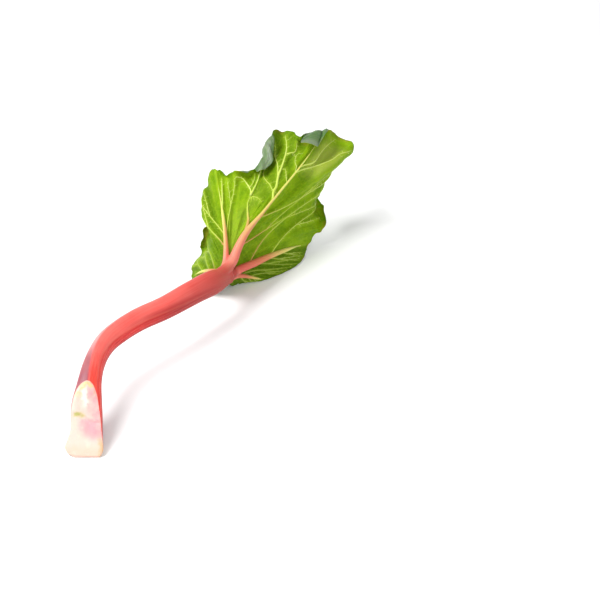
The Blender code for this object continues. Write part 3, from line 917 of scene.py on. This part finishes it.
def rgb(text):
    """A colour from its hexadecimal display value."""
    shown = np.array([int(text[i:i + 2], 16) for i in (0, 2, 4)]) / 255
    linear = np.where(shown <= 0.04045, shown / 12.92, ((shown + 0.055) / 1.055) ** 2.4)
    return tuple(float(value) for value in linear)


class Nodes:
    """Short hand for the nodes of one material. Colours are given as hexadecimal text."""

    def __init__(self, name):
        self.material = bpy.data.materials.new(name)
        self.material.use_nodes = True
        self.tree = self.material.node_tree
        self.shader = self.tree.nodes["Principled BSDF"]

    def put(self, value, socket):
        if isinstance(value, bpy.types.NodeSocket):
            self.tree.links.new(value, socket)
        else:
            socket.default_value = (*rgb(value), 1) if isinstance(value, str) else value

    def fill(self, node, inputs):
        """Sets or links the node's inputs: "From_Min" stands for its socket "From Min"."""
        for name, value in inputs.items():
            self.put(value, node.inputs[name.replace("_", " ")])

    def add(self, kind, **inputs):
        node = self.tree.nodes.new("ShaderNode" + kind)
        self.fill(node, inputs)
        return node

    def surface(self, **inputs):
        self.fill(self.shader, inputs)

    def place(self):
        return self.add("TexCoord").outputs["Object"]

    def attribute(self, name, output="Fac"):
        node = self.add("Attribute")
        node.attribute_name = name
        return node.outputs[output]

    def split(self, name):
        """The three parts of a vector that each point keeps."""
        return self.add("SeparateXYZ", Vector=self.attribute(name, "Vector")).outputs

    def join(self, x, y, z):
        return self.add("CombineXYZ", X=x, Y=y, Z=z).outputs[0]

    def math(self, operation, a, b=0.0):
        node = self.add("Math")
        node.operation = operation
        self.put(a, node.inputs[0])
        self.put(b, node.inputs[1])
        return node.outputs[0]

    def times(self, product, *factors):
        for factor in factors:
            product = self.math("MULTIPLY", product, factor)
        return product

    def range(self, value, low, high, top=1.0, bottom=0.0):
        """From the bottom where the value is low to the top where it is high, with soft ends."""
        node = self.add("MapRange", Value=value, From_Min=low, From_Max=high, To_Min=bottom, To_Max=top)
        node.interpolation_type = "SMOOTHSTEP"
        return node.outputs["Result"]

    def near(self, value, middle, far, close):
        """1 where the value is close to the middle, and 0 where it is far from it."""
        return self.range(self.math("ABSOLUTE", self.math("SUBTRACT", value, middle)), far, close)

    def mix(self, share, a, b):
        node = self.add("Mix")
        node.data_type = "RGBA"
        self.fill(node, {"Factor": share, "A": a, "B": b})
        return node.outputs["Result"]

    def layered(self, colour, *layers):
        """The colour with others laid over it, each by its share."""
        for share, other in layers:
            colour = self.mix(share, colour, other)
        return colour

    def noise(self, vector, scale, detail=3.0, roughness=0.5):
        node = self.add("TexNoise", Vector=vector, Scale=scale, Detail=detail, Roughness=roughness)
        return node.outputs["Fac"]

    def cells(self, vector, scale):
        node = self.add("TexVoronoi", Vector=vector, Scale=scale)
        node.feature = "DISTANCE_TO_EDGE"
        return node.outputs["Distance"]

    def bump(self, height, strength, distance, **under):
        node = self.add("Bump", Strength=strength, Distance=distance, Height=height, **under)
        return node.outputs["Normal"]


def flesh_material():
    """Salmon-red skin, mauve inside, cream on the heel and straw along the ribs; darker below, partly
    its own deeper red and partly painted shade, with painted highlights on the ridge line, the inner
    side and one side of each rib.
    """
    n = Nodes("stalk_skin")
    along, outer, upper = n.split("skin")
    below, beyond, _ = n.split("band")
    over, up, heel = n.split("heel")
    rib, rib_side, low_rib = (n.attribute(name) for name in ("rib", "rib_side", "low_rib"))
    place = n.place()
    streaked = n.join(n.times(along, 0.012), n.times(outer, 9), n.times(upper, 9))
    streaks = n.noise(streaked, 1.6, 5, 0.6)
    fine = n.noise(streaked, 5.0, 4, 0.65)
    cloud = n.noise(place, 40, 3)

    vivid = n.mix(n.range(fine, 0.4, 0.62), "e0241f", "f85c48")
    # The ridged lower side: a deeper red of its own, darkened towards the fork by painted shade, and
    # lighter near the heel.
    lower = n.layered(
        n.mix(n.range(fine, 0.38, 0.62), "c41b19", "e8423b"),
        (n.range(along, 160, 225, 0.8), "9c1a1a"),
        (n.range(along, 130, 70), n.mix(n.range(fine, 0.4, 0.6), "dc2a26", "f2503f")),
    )
    mauve = n.mix(n.range(cloud, 0.35, 0.65), "98505b", "ad676a")
    # Paler further along: a painted sheen on the mauve inner side.
    mauve = n.mix(n.range(along, 98, 125), mauve, "dd9a98")
    red = n.layered(
        n.mix(n.range(streaks, 0.3, 0.7), "e5504a", "ef6960"),
        (n.range(cloud, 0.35, 0.7, 0.35), "f47a6f"),
        (n.times(n.range(along, 118, 70), n.range(below, -0.75, -0.3)), vivid),
        # Painted shade just above the ridge line, from the middle towards the fork.
        (n.times(n.range(below, -0.45, -0.05, 0.95), n.range(along, 145, 215)), "b22022"),
        (n.range(below, -0.12, 0.06), lower),
        # Darker still further under the stalk: painted shade.
        (n.range(below, 0.25, 0.75), "970f12"),
        # A thin painted highlight along the ridge line.
        (n.times(n.range(below, -0.16, -0.04), n.range(below, 0.06, -0.02), 0.15), "fb8a70"),
        (n.times(n.range(beyond, -0.1, 0.12), n.range(along, 120, 210, 0.35, 1.0)), mauve),
        (n.times(n.range(beyond, 0.35, 0.9), n.range(along, 60, 160), 0.65), "c4474a"),
        (n.range(along, 190, 290, 0.7), "a2352e"),
        (n.times(n.range(along, 262, 292), n.range(fine, 0.45, 0.7), 0.5), "8c6a30"),
    )
    straw = n.mix(n.range(rib, 0.12, 0.45), "d86b5c", "cf9860")
    # A paler straw, laid as painted light on one side of each rib.
    painted_light = n.mix(n.range(rib, 0.1, 0.5), "df8b76", "d6cf70")
    straw = n.layered(
        straw,
        (n.range(rib, 0.4, 0.66), "d5dc6c"),
        (n.range(rib_side, 0.55, -0.35, 0.7), painted_light),
        (n.times(low_rib, n.range(rib, 0.85, 0.35, 0.75)), "cf4c42"),
    )
    colour = n.layered(
        red,
        (n.math("MAXIMUM", heel, n.range(along, 36, 22, 0.85)), heel_colour(n, over, up)),
        (n.times(n.range(heel, 0.05, 0.4), n.range(heel, 0.95, 0.6), 0.6), "f6c8bc"),
        (n.range(rib, 0.0, 0.1), straw),
    )
    lined = n.times(fine, n.range(below, -0.7, 0.1, 1.0, 0.25))
    n.surface(
        Base_Color=colour,
        Roughness=n.range(streaks, 0.3, 0.7, 0.46, 0.34),
        Specular_IOR_Level=0.32,
        Subsurface_Weight=0.2,
        Subsurface_Radius=(1.0, 0.25, 0.15),
        Subsurface_Scale=0.003,
        Normal=n.bump(n.noise(place, 900, 2), 0.08, 0.0004, Normal=n.bump(lined, 0.3, 0.0008)),
    )
    return n.material


def heel_colour(n, over, up):
    """Cream, blushed pink towards its right side and under its crease, with a green-yellow fleck and a
    painted highlight.
    """
    place = n.place()
    cloud = n.noise(place, 70, 4, 0.6)
    mottle = n.noise(place, 160, 3)
    shift = n.times(n.math("SUBTRACT", n.noise(place, 110, 3), 0.5), 1.6)
    over = n.math("ADD", over, shift)
    up = n.math("SUBTRACT", up, n.times(shift, 0.8))
    blush = n.times(n.range(over, -0.6, 1.1), n.range(up, 0.6, 2.0))
    blush = n.times(blush, n.range(cloud, 0.25, 0.6, 1.0, 0.35))
    below_crease = n.times(n.range(up, 1.5, 2.2), n.range(up, 3.35, 2.9), n.near(over, 0.2, 1.0, 0.2))
    # A painted highlight up the middle of the face.
    painted_highlight = n.times(n.near(over, -0.05, 0.45, 0.1), n.range(up, 4.0, 4.6), n.range(up, 6.4, 5.4))
    return n.layered(
        "decabc",
        (blush, "e8959c"),
        (n.times(below_crease, 0.7), "e99ca6"),
        (n.times(n.near(over, -0.7, 0.6, 0.1), n.near(up, 3.55, 0.42, 0.05), 0.75), "b5b13c"),
        (n.times(n.range(up, 4.6, 6.2), n.range(mottle, 0.42, 0.56), 0.6), "d6c266"),
        (n.times(painted_highlight, 0.8), "f4e9dc"),
        (n.range(up, 1.3, 0.3, 0.6), "dcbda6"),
        (n.times(n.range(over, 1.1, 1.6), n.range(up, 1.8, 0.6), 0.6), "c79d55"),
        (n.range(mottle, 0.55, 0.75, 0.3), "eadfcd"),
    )


def vein_material():
    """Orange-pink near the ribs' roots and pale yellow-green further out, with painted shade on the
    veins of the outermost parts.
    """
    n = Nodes("vein_skin")
    rib = n.attribute("rib")
    mottle = n.noise(n.place(), 180, 2)
    colour = n.layered(
        "c9905a",
        (n.range(rib, 0.26, 0.52), "bfd252"),
        (n.range(rib, 0.55, 0.85), "d3e272"),
        # Painted shade on the veins of the outermost parts.
        (n.times(n.attribute("vein_painted_shade"), 0.65), "7f9c34"),
        (n.range(mottle, 0.4, 0.75, 0.35), "9fbe3a"),
    )
    n.surface(
        Base_Color=colour,
        Roughness=0.42,
        Specular_IOR_Level=0.3,
        Subsurface_Weight=0.2,
        Subsurface_Radius=(0.7, 1.0, 0.2),
        Subsurface_Scale=0.002,
        Normal=n.bump(mottle, 0.2, 0.0003),
    )
    return n.material


def blade_material(name, colours, gloss, specular, net_height):
    """Leaf skin with a net of veinlets, streaks from the fork and a tinted rim, with painted shade on
    the outermost parts and on two patches by the midrib, and painted light on two other patches.
    """
    body, shade, light, net, painted_shade_colour, painted_light_colour, rim_colour = colours
    n = Nodes(name)
    x, y, reach = n.split("flat")
    turn = n.split("polar")[0]
    spread = n.join(x, y, 0.0)
    warp = n.noise(spread, 0.25, 2)
    bent = n.join(n.math("ADD", x, n.times(warp, 4)), n.math("ADD", y, n.times(warp, 3)), 0.0)
    large = n.range(n.cells(bent, 0.17), 0.0, 0.11, 0.0, 1.0)
    small = n.range(n.cells(bent, 0.5), 0.0, 0.16, 0.0, 0.5)
    netted = n.math("MAXIMUM", large, small)
    patches = n.noise(spread, 0.05, 4, 0.55)
    streaks = n.noise(n.attribute("polar", "Vector"), 1.3, 4, 0.6)
    fleck = n.noise(spread, 0.9, 3)
    # Painted shade on the outermost parts of the blade, on both sides.
    painted_shade_lobes = n.math("MAXIMUM", n.range(turn, -5.9, -7.0, 0.7), n.range(turn, 6.2, 7.2))
    # Painted shade left of the midrib towards the tip, and right of it near the fork.
    top = n.times(n.range(turn, -2.4, -1.5), n.range(turn, 0.1, -0.3))
    top = n.times(top, n.range(reach, 0.35, 0.65, 0.65))
    between = n.times(n.range(turn, 0.3, 1.2), n.range(reach, 0.5, 0.3, 0.4))
    # Painted light right of the midrib near the tip.
    painted_light = n.times(n.range(turn, 0.4, 0.8), n.range(turn, 1.7, 1.2), n.range(reach, 0.97, 0.88))
    # Painted light between the midrib and the rib left of it, nearer the fork.
    soft = n.times(n.range(turn, -5.4, -4.4), n.range(turn, -0.6, -1.8))
    colour = n.layered(
        n.mix(n.range(patches, 0.35, 0.65), shade, body),
        (n.range(streaks, 0.45, 0.7, 0.55), light),
        (n.range(streaks, 0.42, 0.25, 0.5), shade),
        (n.range(fleck, 0.45, 0.8, 0.25), light),
        (painted_shade_lobes, painted_shade_colour),
        (n.math("MAXIMUM", top, between), painted_shade_colour),
        (n.times(painted_light, n.range(reach, 0.66, 0.8, 0.8)), painted_light_colour),
        (n.times(soft, n.range(reach, 0.75, 0.55, 0.15)), painted_light_colour),
        (n.times(netted, 0.22), net),
        (n.times(n.attribute("vein"), 0.4), net),
        (n.times(n.range(reach, 0.975, 1.0), n.range(patches, 0.42, 0.6), 0.4), rim_colour),
    )
    lift = n.math("ADD", n.times(netted, net_height), n.times(fleck, 0.6))
    n.surface(
        Base_Color=colour,
        Roughness=n.range(fleck, 0.3, 0.7, gloss + 0.14, gloss),
        Specular_IOR_Level=specular,
        Subsurface_Weight=0.25,
        Subsurface_Radius=(0.55, 1.0, 0.1),
        Subsurface_Scale=0.0015,
        Normal=n.bump(lift, 0.45, 0.0005),
    )
    return n.material


def build_stage():
    """A plain pale floor."""
    shape = bmesh.new()
    bmesh.ops.create_grid(shape, x_segments=1, y_segments=1, size=6)
    floor = placed("floor", bpy.data.meshes.new("floor"))
    shape.to_mesh(floor.data)
    shape.free()
    n = Nodes("pale_floor")
    colour = n.mix(n.noise(n.place(), 3, 2), "fafafa", "fdfdfd")
    n.surface(Base_Color=colour, Roughness=0.9, Specular_IOR_Level=0.0)
    floor.data.materials.append(n.material)


# Each lamp's name, place in the working frame in metres, diameter and power, and where all point.
LAMPS = (("key", (-0.9, 0.1, 1.55), 1.1, 36), ("fill", (0.5, -1.4, 1.2), 1.4, 13))
LIT_PLACE = (0.08, 0.15, 0.04)
SURROUND_STRENGTH = 0.55
# The camera looks down at this angle, from this far, at a floor point this far from the heel (mm).
LOOK_DOWN = math.radians(34)
CAMERA_DISTANCE = 1667.0
LOOKED_AT = Vector((188.95, 243.6, 0.0))


def build_light():
    """Soft studio light: a large key from the left, a fill and a white surround."""
    target = LAY @ Vector(LIT_PLACE)
    for name, place, size, power in LAMPS:
        light = bpy.data.lights.new(name, "AREA")
        light.shape = "DISK"
        light.size = size
        light.energy = power
        lamp = placed(name, light)
        lamp.location = LAY @ Vector(place)
        lamp.rotation_euler = (target - lamp.location).to_track_quat("-Z", "Y").to_euler()
    world = bpy.data.worlds.new("surround")
    bpy.context.scene.world = world
    world.use_nodes = True
    background = world.node_tree.nodes["Background"]
    background.inputs["Color"].default_value = (1, 1, 1, 1)
    background.inputs["Strength"].default_value = SURROUND_STRENGTH


def build_camera():
    """The camera at the photograph's viewing angle."""
    camera = bpy.data.cameras.new("camera")
    camera.lens = 100
    camera.sensor_width = 36
    camera.clip_end = 50
    eye = LOOKED_AT + CAMERA_DISTANCE * Vector((0, -math.cos(LOOK_DOWN), math.sin(LOOK_DOWN)))
    tilt = Matrix.Rotation(math.pi / 2 - LOOK_DOWN, 4, "X")
    holder = placed("camera", camera)
    holder.matrix_world = LAY @ Matrix.Translation(eye * MM) @ tilt
    bpy.context.scene.camera = holder


build_camera()
build_light()
build_stage()
bpy.context.scene.view_settings.view_transform = "Standard"

veins, twigs = vein_net()
lines = rib_places() + [places for places, _ in veins]

flesh = build_flesh()
flesh.data.materials.clear()
flesh.data.materials.append(flesh_material())
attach(flesh, "root")
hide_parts("stalk")

blade = build_blade(lines)
# Each side's fifth colour is painted shade and its sixth painted light; the others are the leaf's own
# colours.
under_colours = ("7a9d00", "628800", "9ab81c", "a6c22c", "4c6e02", "aeba52", "a0702c")
upper_colours = ("567f32", "3d6a2a", "84906a", "8f9c62", "35602a", "6f8f58", "8d9089")
blade.data.materials.append(blade_material("leaf_underside", under_colours, 0.5, 0.07, 1.0))
blade.data.materials.append(blade_material("leaf_upper_side", upper_colours, 0.3, 0.6, -1.0))
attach(blade, "root")
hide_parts("leaf_blade")

cords = build_veins(veins, twigs, lines)
cords.data.materials.append(vein_material())
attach(cords, "root")
